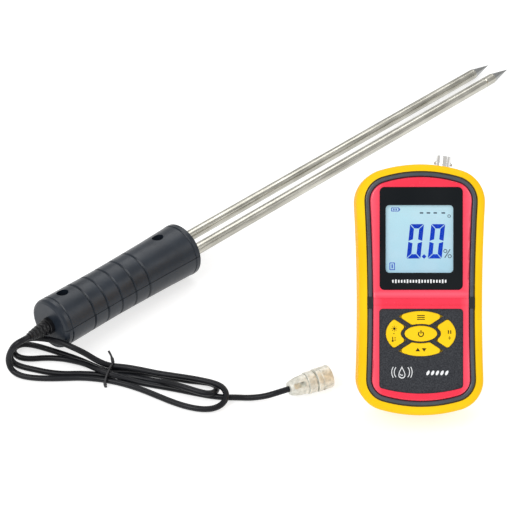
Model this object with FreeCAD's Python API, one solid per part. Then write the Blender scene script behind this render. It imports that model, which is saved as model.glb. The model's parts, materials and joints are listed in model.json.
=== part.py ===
import FreeCAD, Part
import math
import os

from FreeCAD import Vector

# Hand-held moisture meter with a two-rod probe on a tied-up lead, unplugged.
# Millimetres. +Z is up, the table is z = 0, and the origin is under the middle
# of the meter and probe together. The meter leans back on its tilt stand and
# faces -Y; the probe lies on the table on its left, its rods pointing away.

# ---- meter: x across, y along its face from the bottom edge, z out of the face
METER_AT = (72.2, -181.0)
METER_LEAN = 37.8
METER_LENGTH = 152.0
BOOT_FRONT = 35.2
BOOT_TRIM = 0.6
BOOT_WALL = 3.0
BOOT_LIP = 5.4
BOOT_BACK_LIP = 10.0
BOOT_BACK = 2.6
BOOT_ROUND_FRONT = 4.7
BOOT_ROUND_BACK = 6.0

WAIST_HALF = 37.6
WAIST_AT = 64.0
SIDE_RADIUS = 1150.0
TOP_RADIUS = 85.0
TOP_CORNER = 20.5
BOTTOM_RADIUS = 88.0
BOTTOM_CORNER = 19.0

CASE_INSET = BOOT_WALL
CASE_WALL = 2.0
CASE_SPLIT = 18.0
CASE_RIM = 33.0
CASE_DECK = 30.0
BEAD_OUTER = 5.75
BEAD_TOP = 34.5
BEAD_ROUND = 1.2
FACE_INSET = 9.0
FACE_GAP = 0.3
FACE_SEAT = 31.5
FACE_TOP = 35.6

WINDOW_HALF = 24.9
WINDOW_LOW = 75.4
WINDOW_HIGH = 137.0
WINDOW_CORNER = 3.0
WINDOW_SEAT = 33.7
WINDOW_TOP = 35.2
LCD_CENTRE = (-0.4, 106.2)
LCD_HALF = 22.9
LCD_VIEW = 20.6

PANEL_HALF = 25.1
PANEL_HIGH = 64.2
PANEL_SIDE_LOW = 17.0
PANEL_SAG = 3.6
PANEL_CORNER = 2.2
PANEL_SEAT = 33.2
PANEL_TOP = 35.0

KEY_CENTRE = (-0.2, 49.3)
KEY_OUTER = (20.9, 13.5)
KEY_INNER = (12.0, 5.75)
KEY_MIDDLE = (9.7, 4.7)
KEY_GAP = 2.9
KEY_GAP_ANGLE = 33.0
KEY_TOP = 36.0
KEY_FLANGE = 0.35
KEY_CLEAR = 0.1
KEY_TRAVEL = 0.8
KEY_SEAT = 31.9
KEY_CORNER = 1.7
KEY_EDGE = 0.7

BOARD_HALF = 25.5
BOARD_LOW = 14.0
BOARD_HIGH = 134.0
BOARD_TOP = 29.0
BOARD_THICK = 1.6

SOCKET_MOUTH = (15.4, 156.2)
SOCKET_TILT = 7.5
SOCKET_Z = 18.0
SOCKET_RADIUS = 4.8
SOCKET_LAND = 3.4
SOCKET_BODY = 4.55
SOCKET_LUG_RADIUS = 5.55
SOCKET_RECESS = 8.8
SOCKET_SEAT = 8.9
SOCKET_FLANGE_AT = 11.2

SCREW_SITES = [(-28.5, 26.0), (28.5, 26.0), (-28.5, 122.0), (28.5, 122.0)]
BOARD_SCREW_SITES = [(-22.0, 70.0), (22.0, 70.0), (-22.5, 17.0), (22.5, 17.0)]

DOOR_HALF = 23.6
DOOR_LOW = 20.0
DOOR_HIGH = 74.0
DOOR_THICK = 1.6
CELL_RADIUS = 5.15
CELL_LENGTH = 43.3
CELL_PITCH = 10.6

STAND_HINGE = (97.0, 3.2)
STAND_OPEN = 45.0
STAND_THICK = 2.2
STAND_SET = 1.8
STAND_HALF = 20.0
STAND_PIN = 1.0
RUNNING = 0.05

# ---- probe: z along its axis towards the points, rods at +-y, screws on the -x side
PROBE_AT = (-76.1, -43.8)
PROBE_HEADING = 46.3
PROBE_DROOP = 2.16
PROBE_ROLL = -12.0
HANDLE_LENGTH = 117.0
HANDLE_FRONT_RADIUS = 18.3
HANDLE_WAIST_RADIUS = 16.3
HANDLE_REAR_RADIUS = 16.8
HANDLE_WALL = 2.6
GROOVES = [-45.0, -57.0, -69.0, -81.0, -92.5]
GROOVE_DEPTH = 0.8
GROOVE_HALF = 0.9
SEAM_DEPTH = 0.5
SEAM_HALF = 0.2
ROD_RADIUS = 3.85
ROD_OFFSET = 9.3
ROD_TIP = 345.7
ROD_CONE = 20.0
ROD_JOINT = 30.5
ROD_TAIL = -46.0
ROD_SHOULDER = -33.8
ROD_THREAD = 2.5
BLOCK_RADIUS = 14.0
HANDLE_SCREW_AT = [-19.0, -102.5]
RELIEF_LENGTH = 17.0

# ---- lead: route points from the strain relief to the tied hank, and on to the plug
CORD_DIAMETER = 3.8
LEAD_ROUTE = [
    (-168.6, -140.6, 23.3),
    (-174.4, -146.7, 23.5),
    (-181.3, -147.6, 18.0),
    (-183.0, -142.6, 10.5),
    (-182.0, -143.0, 4.6),
]
TAIL_ROUTE = [
    (-46.5, -173.2, 1.9),
    (-38.5, -173.2, 1.9),
    (-30.0, -173.7, 1.9),
    (-21.0, -175.2, 4.6),
    (-13.3, -174.7, 7.25),
    (-6.1, -171.3, 7.25),
]
PLUG_AT = (-6.1, -171.3, 7.25)
PLUG_HEADING = 25.4
HANK_LOW = 4.6
HANK_HIGH = 7.2
RAISED_STRAND = [
    (-117.5, -148.0, 4.6),
    (-126.5, -147.4, 9.6),
    (-133.5, -145.6, 14.0),
    (-141.0, -144.0, 17.4),
    (-148.0, -140.6, 18.4),
    (-155.0, -136.2, 17.0),
    (-162.0, -132.4, 15.0),
    (-169.0, -130.0, 13.4),
    (-175.2, -130.4, 9.6),
    (-179.0, -133.6, 3.4),
]


def box(x0, x1, y0, y1, z0, z1):
    return Part.makeBox(x1 - x0, y1 - y0, z1 - z0, Vector(x0, y0, z0))


def cylinder(radius, z0, z1, x=0.0, y=0.0):
    return Part.makeCylinder(radius, z1 - z0, Vector(x, y, z0))


def rounded_box(x0, x1, y0, y1, z0, z1, radius):
    solid = box(x0, x1, y0, y1, z0, z1)
    upright = [e for e in solid.Edges if abs(e.Vertexes[0].Z - e.Vertexes[1].Z) > 1e-6]
    return solid.makeFillet(radius, upright)


def revolve(points):
    """Turn a closed outline of (radius, z) points about the z axis."""
    corners = [Vector(r, 0, z) for r, z in points]
    face = Part.Face(Part.makePolygon(corners + corners[:1]))
    return face.revolve(Vector(0, 0, 0), Vector(0, 0, 1), 360)


def hexagon(radius, z0, height, x=0.0, y=0.0):
    corners = []
    for index in range(7):
        turn = math.radians(60 * index)
        corners.append(Vector(x + radius * math.cos(turn), y + radius * math.sin(turn), z0))
    return Part.Face(Part.makePolygon(corners)).extrude(Vector(0, 0, height))


def ellipse_prism(half_x, half_y, centre, z0, z1):
    middle = Vector(centre[0], centre[1], z0)
    curve = Part.Ellipse(middle, half_x, half_y)
    face = Part.Face(Part.Wire(curve.toShape()))
    return face.extrude(Vector(0, 0, z1 - z0))


def circle_meet(c0, r0, c1, r1, side):
    """The point where two circles meet, on the given side of the line between them."""
    dx = c1[0] - c0[0]
    dy = c1[1] - c0[1]
    gap = math.hypot(dx, dy)
    along = (gap * gap + r0 * r0 - r1 * r1) / (2 * gap)
    across = side * math.sqrt(r0 * r0 - along * along)
    return (c0[0] + (along * dx - across * dy) / gap, c0[1] + (along * dy + across * dx) / gap)


def toward(centre, target, radius):
    dx = target[0] - centre[0]
    dy = target[1] - centre[1]
    gap = math.hypot(dx, dy)
    return Vector(centre[0] + dx * radius / gap, centre[1] + dy * radius / gap, 0)


def meter_outline(inset):
    """The meter's outline, moved in by inset: tangent arcs, waisted at the sides."""
    side = (WAIST_HALF + SIDE_RADIUS, WAIST_AT)
    top = (0.0, METER_LENGTH - TOP_RADIUS)
    bottom = (0.0, BOTTOM_RADIUS)
    upper = circle_meet(top, TOP_RADIUS - TOP_CORNER, side, SIDE_RADIUS + TOP_CORNER, 1)
    lower = circle_meet(bottom, BOTTOM_RADIUS - BOTTOM_CORNER, side, SIDE_RADIUS + BOTTOM_CORNER, -1)
    side_top = toward(side, upper, SIDE_RADIUS + inset)
    side_low = toward(side, lower, SIDE_RADIUS + inset)
    side_mid = Vector(WAIST_HALF - inset, WAIST_AT, 0)
    top_end = toward(top, upper, TOP_RADIUS - inset)
    low_end = toward(bottom, lower, BOTTOM_RADIUS - inset)
    top_mid = Vector(0, METER_LENGTH - inset, 0)
    low_mid = Vector(0, inset, 0)

    def corner_mid(centre, radius, a, b):
        middle = ((a.x + b.x) / 2, (a.y + b.y) / 2)
        return toward(centre, middle, radius - inset)

    upper_mid = corner_mid(upper, TOP_CORNER, top_end, side_top)
    lower_mid = corner_mid(lower, BOTTOM_CORNER, low_end, side_low)

    def flip(p):
        return Vector(-p.x, p.y, 0)

    arcs = [
        Part.Arc(flip(top_end), top_mid, top_end),
        Part.Arc(top_end, upper_mid, side_top),
        Part.Arc(side_top, side_mid, side_low),
        Part.Arc(side_low, lower_mid, low_end),
        Part.Arc(low_end, low_mid, flip(low_end)),
        Part.Arc(flip(low_end), flip(lower_mid), flip(side_low)),
        Part.Arc(flip(side_low), flip(side_mid), flip(side_top)),
        Part.Arc(flip(side_top), flip(upper_mid), flip(top_end)),
    ]
    return Part.Wire([arc.toShape() for arc in arcs])


def outline_prism(inset, z0, z1):
    face = Part.Face(meter_outline(inset))
    solid = face.extrude(Vector(0, 0, z1 - z0))
    solid.translate(Vector(0, 0, z0))
    return solid


def panel_prism(inset, z0, z1):
    """The keypad panel's outline: square top, bowed bottom edge."""
    half = PANEL_HALF - inset
    high = PANEL_HIGH - inset
    low = PANEL_SIDE_LOW + inset
    edges = [
        Part.LineSegment(Vector(-half, high, z0), Vector(half, high, z0)),
        Part.LineSegment(Vector(half, high, z0), Vector(half, low, z0)),
        Part.Arc(Vector(half, low, z0), Vector(0, low - PANEL_SAG, z0), Vector(-half, low, z0)),
        Part.LineSegment(Vector(-half, low, z0), Vector(-half, high, z0)),
    ]
    face = Part.Face(Part.Wire([edge.toShape() for edge in edges]))
    solid = face.extrude(Vector(0, 0, z1 - z0))
    upright = [e for e in solid.Edges if abs(e.Vertexes[0].Z - e.Vertexes[1].Z) > 1e-6]
    return solid.makeFillet(max(PANEL_CORNER - inset, 0.6), upright)


def edge_drop():
    """How far rounding the boot's lower back edge lets the leaning meter down."""
    turn = math.radians(METER_LEAN)
    return BOOT_ROUND_BACK * (math.cos(turn) + math.sin(turn) - 1)


def place_meter(shape):
    """Lean a piece back onto the boot's lower back edge, which touches the table."""
    rotation = FreeCAD.Rotation(Vector(1, 0, 0), 90 - METER_LEAN)
    base = Vector(METER_AT[0], METER_AT[1], -edge_drop())
    return placed(shape, FreeCAD.Placement(base, rotation))


def placed(shape, placement):
    moved = shape.copy()
    moved.Placement = placement.multiply(moved.Placement)
    return moved


def place_probe(shape):
    """Lay a piece of the probe down: front lip and rod points on the table."""
    spin = FreeCAD.Rotation(Vector(0, 0, 1), PROBE_ROLL)
    pitch = FreeCAD.Rotation(Vector(0, 1, 0), 90 + PROBE_DROOP)
    yaw = FreeCAD.Rotation(Vector(0, 0, 1), PROBE_HEADING)
    height = HANDLE_FRONT_RADIUS * math.cos(math.radians(PROBE_DROOP))
    rotation = yaw.multiply(pitch).multiply(spin)
    return placed(shape, FreeCAD.Placement(Vector(PROBE_AT[0], PROBE_AT[1], height), rotation))


def place_plug(shape):
    """Lay a piece of the plug down, its mouth pointing away from the lead."""
    pitch = FreeCAD.Rotation(Vector(0, 1, 0), 90)
    yaw = FreeCAD.Rotation(Vector(0, 0, 1), PLUG_HEADING)
    return placed(shape, FreeCAD.Placement(Vector(*PLUG_AT), yaw.multiply(pitch)))


# ---------------------------------------------------------------- meter housing


def socket_frame(shape):
    """Turn a piece built along +z from the socket's mouth inwards into the case."""
    rotation = FreeCAD.Rotation(Vector(1, 0, 0), 90)
    lean = FreeCAD.Rotation(Vector(0, 0, 1), -SOCKET_TILT)
    base = Vector(SOCKET_MOUTH[0], SOCKET_MOUTH[1], SOCKET_Z)
    return placed(shape, FreeCAD.Placement(base, lean.multiply(rotation)))


def boot():
    body = outline_prism(BOOT_TRIM, 0, BOOT_FRONT)
    body.translate(Vector(0, -BOOT_TRIM, 0))
    front = [e for e in body.Edges if e.BoundBox.ZMin > BOOT_FRONT - 0.01]
    body = body.makeFillet(BOOT_ROUND_FRONT, front)
    back = [e for e in body.Edges if e.BoundBox.ZMax < 0.01]
    body = body.makeFillet(BOOT_ROUND_BACK, back)
    body = body.cut(outline_prism(BOOT_WALL, BOOT_BACK, CASE_RIM))
    body = body.cut(outline_prism(BOOT_LIP, CASE_RIM, BOOT_FRONT + 1))
    body = body.cut(outline_prism(BOOT_BACK_LIP, -1, BOOT_BACK))
    body = body.cut(socket_frame(cylinder(SOCKET_RECESS, 0, 12)))
    for side in (-1, 1):
        x0, x1 = sorted((side * 28.75, side * 32.3))
        body = body.cut(box(x0, x1, 64.0, 71.5, CASE_RIM - 1, BOOT_FRONT + 1))
    return body


def socket_pad(z0, z1):
    """Flat seat inside the case wall for the socket's flange, within one case half."""
    pad = socket_frame(cylinder(8.0, 9.3, SOCKET_FLANGE_AT))
    return pad.common(box(-60, 60, 100, 170, z0, z1))


def cut_for_socket(shell):
    shell = shell.cut(socket_frame(cylinder(SOCKET_BODY + 0.05, 0, 14)))
    return shell.cut(socket_frame(cylinder(SOCKET_RECESS, 0, SOCKET_SEAT)))


def case_columns(z0, z1, bore):
    columns = []
    for x, y in SCREW_SITES:
        column = cylinder(3.3, z0, z1, x, y).cut(cylinder(bore, z0 - 1, z1 + 1, x, y))
        columns.append(column)
    return columns


def front_case():
    shell = outline_prism(CASE_INSET, CASE_SPLIT, CASE_RIM)
    shell = shell.cut(outline_prism(CASE_INSET + CASE_WALL, CASE_SPLIT - 1, CASE_DECK))
    shell = shell.cut(outline_prism(FACE_INSET - FACE_GAP, FACE_SEAT, CASE_RIM + 1))
    shell = shell.cut(box(-24, 24.2, 78, 134, CASE_DECK - 1, FACE_SEAT + 1))
    shell = shell.cut(box(-23.5, 23.5, 19, PANEL_HIGH - 0.3, CASE_DECK - 1, FACE_SEAT + 1))
    shell = shell.fuse(case_columns(CASE_SPLIT, CASE_DECK + 0.5, 1.25))
    for x, y in SCREW_SITES:
        shell = shell.cut(cylinder(1.25, CASE_SPLIT - 1, CASE_DECK - 2, x, y))
    pads = [cylinder(2.6, BOARD_TOP, CASE_DECK + 0.5, x, y) for x, y in BOARD_SCREW_SITES]
    shell = shell.fuse(pads)
    for x, y in BOARD_SCREW_SITES:
        shell = shell.cut(cylinder(0.95, BOARD_TOP - 1, CASE_DECK + 1, x, y))
    bead = outline_prism(BEAD_OUTER, CASE_RIM - 0.5, BEAD_TOP)
    bead = bead.cut(outline_prism(FACE_INSET - FACE_GAP, CASE_RIM - 1, BEAD_TOP + 1))
    crown = [e for e in bead.Edges if e.BoundBox.ZMin > BEAD_TOP - 0.01]
    shell = shell.fuse(bead.makeFillet(BEAD_ROUND, crown))
    for side in (-1, 1):
        x0, x1 = sorted((side * 28.75, side * 32.0))
        shell = shell.fuse(box(x0, x1, 64.5, 71.0, CASE_RIM - 0.8, BEAD_TOP + 0.4))
    shell = shell.fuse(socket_pad(CASE_SPLIT, CASE_DECK))
    return cut_for_socket(shell).removeSplitter()


def rear_case():
    shell = outline_prism(CASE_INSET, BOOT_BACK, CASE_SPLIT)
    shell = shell.cut(outline_prism(CASE_INSET + CASE_WALL, BOOT_BACK + 2.4, CASE_SPLIT + 1))
    shell = shell.fuse(case_columns(BOOT_BACK + 2, CASE_SPLIT, 1.25))
    for x, y in SCREW_SITES:
        shell = shell.cut(cylinder(1.4, BOOT_BACK - 1, CASE_SPLIT + 1, x, y))
        shell = shell.cut(cylinder(2.7, BOOT_BACK - 1, BOOT_BACK + 2.2, x, y))
    shell = shell.fuse(box(-27, 27, STAND_HINGE[0] - 6, STAND_HINGE[0] + 6, BOOT_BACK + 1, 8.0))
    ears = [box(20.6, 25.0, STAND_HINGE[0] - 3, STAND_HINGE[0] + 3, 1.0, 6.0)]
    ears.append(box(-25.0, -20.6, STAND_HINGE[0] - 3, STAND_HINGE[0] + 3, 1.0, 6.0))
    shell = shell.cut(box(-20.6, 20.6, STAND_HINGE[0] - 3.4, STAND_HINGE[0] + 3.4, 0, 5.9))
    shell = shell.fuse(ears)
    shell = shell.cut(stand_pin_at(STAND_PIN, -25.5, 25.5))
    shell = shell.cut(box(-DOOR_HALF - 0.2, DOOR_HALF + 0.2, DOOR_LOW - 0.2, DOOR_HIGH + 0.2,
                          0, BOOT_BACK + DOOR_THICK + 0.1))
    shell = shell.cut(box(-DOOR_HALF + 1.4, DOOR_HALF - 1.4, DOOR_LOW + 1.4, DOOR_HIGH - 5.0, 0, 6))
    shell = shell.cut(cylinder(1.0, 0, 6, 0, DOOR_HIGH - 2.6))
    shell = shell.fuse(socket_pad(BOOT_BACK, CASE_SPLIT))
    return cut_for_socket(shell).removeSplitter()


def case_screws():
    screws = []
    for x, y in SCREW_SITES:
        head = cylinder(2.5, BOOT_BACK + 0.2, BOOT_BACK + 2.2, x, y)
        head = head.cut(cylinder(0.9, BOOT_BACK, BOOT_BACK + 1.2, x, y))
        screws.append(head.fuse(cylinder(1.25, BOOT_BACK + 2.0, 26, x, y)).removeSplitter())
    return Part.makeCompound(screws)


def face_plate():
    plate = outline_prism(FACE_INSET, FACE_SEAT, FACE_TOP)
    rim = [e for e in plate.Edges if e.BoundBox.ZMin > FACE_TOP - 0.01]
    plate = plate.makeFillet(1.2, rim)
    plate = plate.cut(rounded_box(-WINDOW_HALF, WINDOW_HALF, WINDOW_LOW, WINDOW_HIGH,
                                  WINDOW_SEAT, FACE_TOP + 1, WINDOW_CORNER))
    plate = plate.cut(box(-24, 24.2, 78, 134, FACE_SEAT - 1, FACE_TOP))
    plate = plate.cut(panel_prism(0, PANEL_SEAT, FACE_TOP + 1))
    plate = plate.cut(box(-23.5, 23.5, 19, PANEL_HIGH - 0.3, FACE_SEAT - 1, FACE_TOP))
    valley = box(-40, 40, 66.0, 70.5, FACE_TOP - 0.5, FACE_TOP + 1)
    return plate.cut(valley).removeSplitter()


def display_window():
    return rounded_box(-WINDOW_HALF + 0.1, WINDOW_HALF - 0.1, WINDOW_LOW + 0.1, WINDOW_HIGH - 0.1,
                       WINDOW_SEAT, WINDOW_TOP, WINDOW_CORNER - 0.1)


def lcd_parts():
    x, y = LCD_CENTRE
    glass = box(x - LCD_HALF, x + LCD_HALF, y - LCD_HALF - 1.5, y + LCD_HALF + 1.5, 31.2, 33.3)
    light = box(x - 21.5, x + 21.5, y - 20.5, y + 20.5, BOARD_TOP, 31.2)
    frame = box(x - LCD_HALF - 0.6, x + LCD_HALF + 0.6, y - LCD_HALF - 2.0, y + LCD_HALF + 2.0,
                BOARD_TOP, 33.6)
    frame = frame.cut(box(x - LCD_HALF, x + LCD_HALF, y - LCD_HALF - 1.5, y + LCD_HALF + 1.5,
                          BOARD_TOP - 1, 33.3))
    frame = frame.cut(box(x - LCD_VIEW - 0.6, x + LCD_VIEW + 0.6, y - LCD_VIEW - 0.6,
                          y + LCD_VIEW + 0.6, 33, 34))
    strips = [box(x - 20, x + 20, y + end - 0.9, y + end + 0.9, BOARD_TOP, 31.2)
              for end in (-22.8, 22.8)]
    return glass, light, frame, Part.makeCompound(strips)


# ---------------------------------------------------------------- keys


def key_blanks(grow, z0, z1):
    """The five key outlines, grown all round, as prisms by name."""
    height = z1 - z0
    outer = ellipse_prism(KEY_OUTER[0] + grow, KEY_OUTER[1] + grow, KEY_CENTRE, z0, z1)
    ring = outer.cut(ellipse_prism(KEY_INNER[0] - grow, KEY_INNER[1] - grow, KEY_CENTRE, z0, z1))
    for angle in (-KEY_GAP_ANGLE, KEY_GAP_ANGLE):
        slot = Part.makeBox(80, KEY_GAP - 2 * grow, height, Vector(-40, -KEY_GAP / 2 + grow, z0))
        slot.rotate(Vector(0, 0, 0), Vector(0, 0, 1), angle)
        slot.translate(Vector(KEY_CENTRE[0], KEY_CENTRE[1], 0))
        ring = ring.cut(slot)
    keys = {"power_key": ellipse_prism(KEY_MIDDLE[0] + grow, KEY_MIDDLE[1] + grow,
                                       KEY_CENTRE, z0, z1)}
    for solid in ring.Solids:
        centre = solid.CenterOfMass
        if abs(centre.x - KEY_CENTRE[0]) > 5:
            name = "light_key" if centre.x < KEY_CENTRE[0] else "hold_key"
        else:
            name = "set_key" if centre.y > KEY_CENTRE[1] else "select_key"
        keys[name] = solid
    return keys


def corner_edges(solid):
    """The upright edges where a key was cut off at a gap."""
    found = []
    for edge in solid.Edges:
        if edge.BoundBox.ZLength < 0.5 or len(edge.Vertexes) < 2:
            continue
        x = edge.Vertexes[0].X - KEY_CENTRE[0]
        y = abs(edge.Vertexes[0].Y - KEY_CENTRE[1])
        turn = math.radians(KEY_GAP_ANGLE)
        off = abs(abs(x) * math.sin(turn) - y * math.cos(turn))
        if off < KEY_GAP / 2 + 0.05:
            found.append(edge)
    return found


def key_caps():
    caps = key_blanks(0, PANEL_SEAT - 0.3, KEY_TOP)
    flanges = key_blanks(KEY_FLANGE, KEY_SEAT, PANEL_SEAT - 0.02)
    keys = {}
    for name, cap in caps.items():
        if name != "power_key":
            cap = cap.makeFillet(KEY_CORNER, corner_edges(cap))
        top = [e for e in cap.Edges if e.BoundBox.ZMin > KEY_TOP - 0.01]
        cap = cap.makeFillet(KEY_EDGE, top)
        keys[name] = cap.fuse(flanges[name]).removeSplitter()
    return keys


def keypad_panel():
    panel = panel_prism(0.08, PANEL_SEAT, PANEL_TOP)
    for hole in key_blanks(KEY_CLEAR, PANEL_SEAT - 1, PANEL_TOP + 1).values():
        panel = panel.cut(hole)
    return panel


def key_mat():
    """Rubber sheet on the board with a dome under each key, drawn pressed."""
    mat = box(-21.9, 21.9, 20.5, 60.6, BOARD_TOP, BOARD_TOP + 0.8)
    top = KEY_SEAT - KEY_TRAVEL - 0.05
    for x, y in [(0, 0), (0, 10.0), (0, -10.0), (-16.2, 0), (16.2, 0)]:
        foot = Vector(KEY_CENTRE[0] + x, KEY_CENTRE[1] + y, BOARD_TOP + 0.5)
        mat = mat.fuse(Part.makeCone(3.2, 2.0, top - foot.z, foot))
    return mat.removeSplitter()


# ---------------------------------------------------------------- inside the meter


def main_board():
    z0 = BOARD_TOP - BOARD_THICK
    board = box(-BOARD_HALF, BOARD_HALF, BOARD_LOW, BOARD_HIGH, z0, BOARD_TOP)
    for x, y in SCREW_SITES:
        board = board.cut(cylinder(3.8, z0 - 1, BOARD_TOP + 1, x, y))
    for x, y in BOARD_SCREW_SITES:
        board = board.cut(cylinder(1.2, z0 - 1, BOARD_TOP + 1, x, y))
    return board


def board_screws():
    z0 = BOARD_TOP - BOARD_THICK
    screws = []
    for x, y in BOARD_SCREW_SITES:
        head = cylinder(2.0, z0 - 1.5, z0, x, y)
        head = head.cut(box(x - 0.3, x + 0.3, y - 1.5, y + 1.5, z0 - 1.6, z0 - 0.8))
        screws.append(head.fuse(cylinder(0.95, z0 - 0.1, CASE_DECK, x, y)).removeSplitter())
    return Part.makeCompound(screws)


def board_chips():
    under = BOARD_TOP - BOARD_THICK
    chips = [
        box(-6, 6, 84, 96, under - 1.6, under),
        box(-18, -12, 100, 105, under - 1.5, under),
        box(8, 17, 108, 114, under - 1.8, under),
        box(-20, -9, 118, 122.5, under - 3.4, under),
        cylinder(3.0, under - 6.5, under, 15, 96),
        cylinder(2.4, under - 6.0, under, -16, 92),
    ]
    return Part.makeCompound(chips)


def buzzer():
    under = BOARD_TOP - BOARD_THICK
    can = cylinder(6.0, under - 5.5, under, 12, 80)
    return can.cut(cylinder(1.0, under - 6, under - 4.5, 12, 80))


def battery_tray():
    low = DOOR_LOW + 1.6
    high = DOOR_HIGH - 5.2
    z0 = BOOT_BACK + 2.4
    tray = box(-22.4, 22.4, low - 0.8, high + 0.8, z0, z0 + 12.4)
    return tray.cut(box(-21.3, 21.3, low + 0.2, high - 0.2, z0 - 1, z0 + 11.2))


def cell_sites():
    return [(i - 1.5) * CELL_PITCH for i in range(4)]


def battery_cells():
    z = BOOT_BACK + 2.4 + 11.2 - CELL_RADIUS - 0.1
    cells = []
    middle = (DOOR_LOW + DOOR_HIGH - 3.6) / 2
    for index, x in enumerate(cell_sites()):
        way = 1 if index % 2 else -1
        start = Vector(x, middle - way * CELL_LENGTH / 2, z)
        can = Part.makeCylinder(CELL_RADIUS, CELL_LENGTH, start, Vector(0, way, 0))
        nub_at = Vector(x, middle + way * CELL_LENGTH / 2, z)
        nub = Part.makeCylinder(1.9, 1.1, nub_at, Vector(0, way, 0))
        cells.append(can.fuse(nub).removeSplitter())
    return Part.makeCompound(cells)


def battery_contacts():
    """Flat plates for the positive ends and springs for the negative ends."""
    z = BOOT_BACK + 2.4 + 11.2 - CELL_RADIUS - 0.1
    middle = (DOOR_LOW + DOOR_HIGH - 3.6) / 2
    parts = []
    for index, x in enumerate(cell_sites()):
        way = 1 if index % 2 else -1
        plate_y = middle + way * (CELL_LENGTH / 2 + 1.25)
        parts.append(box(x - 4, x + 4, plate_y - 0.15, plate_y + 0.15, z - 4, z + 4))
        spring_y = middle - way * CELL_LENGTH / 2
        parts.append(Part.makeCone(2.2, 3.4, 1.2, Vector(x, spring_y, z), Vector(0, -way, 0)))
    return Part.makeCompound(parts)


def battery_door():
    door = rounded_box(-DOOR_HALF, DOOR_HALF, DOOR_LOW, DOOR_HIGH,
                       BOOT_BACK, BOOT_BACK + DOOR_THICK, 2.0)
    for index in range(5):
        y = DOOR_LOW + 5 + index * 2.4
        door = door.cut(box(-9, 9, y, y + 1.0, BOOT_BACK - 1, BOOT_BACK + 0.5))
    return door.cut(cylinder(2.2, 0, BOOT_BACK + 0.9, 0, DOOR_HIGH - 2.6)).cut(
        cylinder(1.05, 0, 6, 0, DOOR_HIGH - 2.6))


def door_screw():
    y = DOOR_HIGH - 2.6
    head = cylinder(2.0, BOOT_BACK + 0.1, BOOT_BACK + 0.9, 0, y)
    head = head.cut(box(-1.3, 1.3, y - 0.25, y + 0.25, 0, BOOT_BACK + 0.5))
    return head.fuse(cylinder(0.9, BOOT_BACK + 0.8, BOOT_BACK + 2.0, 0, y)).removeSplitter()


def stand_pin_at(radius, x0, x1):
    base = Vector(x0, STAND_HINGE[0], STAND_HINGE[1])
    return Part.makeCylinder(radius, x1 - x0, base, Vector(1, 0, 0))


def stand_length():
    """Hinge to foot centre, so that the swung-out stand's foot touches the table."""
    lean = math.radians(METER_LEAN)
    swing = math.radians(STAND_OPEN) - lean
    y, z = STAND_HINGE
    height = y * math.cos(lean) + z * math.sin(lean) - edge_drop()
    return (height + STAND_SET * math.sin(swing) - STAND_THICK / 2) / math.cos(swing)


def tilt_stand():
    """A frame-shaped leg on the back, swung open from its hinge."""
    y, z = STAND_HINGE
    foot_at = y - stand_length()
    middle = z - STAND_SET
    half = STAND_THICK / 2
    leg = box(-STAND_HALF, STAND_HALF, foot_at, y, middle - half, middle + half)
    foot_base = Vector(-STAND_HALF, foot_at, middle)
    foot = Part.makeCylinder(half, 2 * STAND_HALF, foot_base, Vector(1, 0, 0))
    leg = leg.fuse([foot, stand_pin_at(2.2, -STAND_HALF, STAND_HALF)])
    leg = leg.cut(rounded_box(-12, 12, foot_at + 9, y - 12, z - 5, z + 5, 4.0))
    leg = leg.cut(stand_pin_at(STAND_PIN + RUNNING, -STAND_HALF - 1, STAND_HALF + 1))
    leg = leg.removeSplitter()
    leg.rotate(Vector(0, y, z), Vector(1, 0, 0), STAND_OPEN)
    return leg


# ---------------------------------------------------------------- probe socket


def probe_socket():
    shell = cylinder(SOCKET_RADIUS, 0, SOCKET_LAND).fuse(cylinder(SOCKET_BODY, 3, 20))
    shell = shell.cut(cylinder(4.1, -1, 7.5))
    shell = shell.cut(cylinder(3.2, 7, 21))
    flange = cylinder(6.6, SOCKET_FLANGE_AT, SOCKET_FLANGE_AT + 1.6)
    shell = shell.fuse(flange.cut(cylinder(4, 10, 14)))
    for way in (-1, 1):
        lug = Part.makeCylinder(1.0, SOCKET_LUG_RADIUS - 4.4, Vector(way * 4.4, 0, 4.6),
                                Vector(way, 0, 0))
        shell = shell.fuse(lug)
    return shell.removeSplitter()


def socket_pieces():
    insulator = cylinder(3.2, 7.0, 20.0).fuse(cylinder(2.4, 2.0, 7.2)).cut(cylinder(1.05, 1, 21))
    contact = cylinder(1.05, 2.4, 24.0).cut(cylinder(0.5, 2, 7))
    nut = hexagon(7.6, SOCKET_SEAT - 2.0, 2.0).cut(cylinder(SOCKET_BODY, 6, 10))
    return {"socket_insulator": insulator.removeSplitter(), "socket_contact": contact,
            "socket_nut": nut}


# ---------------------------------------------------------------- probe handle


def handle_radius(z):
    """Waisted handle: widest at its front lip, narrowest two thirds back."""
    waist = -76.0
    if z > waist:
        part = (z - waist) / -waist
        return HANDLE_WAIST_RADIUS + (HANDLE_FRONT_RADIUS - HANDLE_WAIST_RADIUS) * part ** 1.6
    part = (waist - z) / (HANDLE_LENGTH + waist)
    return HANDLE_WAIST_RADIUS + (HANDLE_REAR_RADIUS - HANDLE_WAIST_RADIUS) * part


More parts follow.
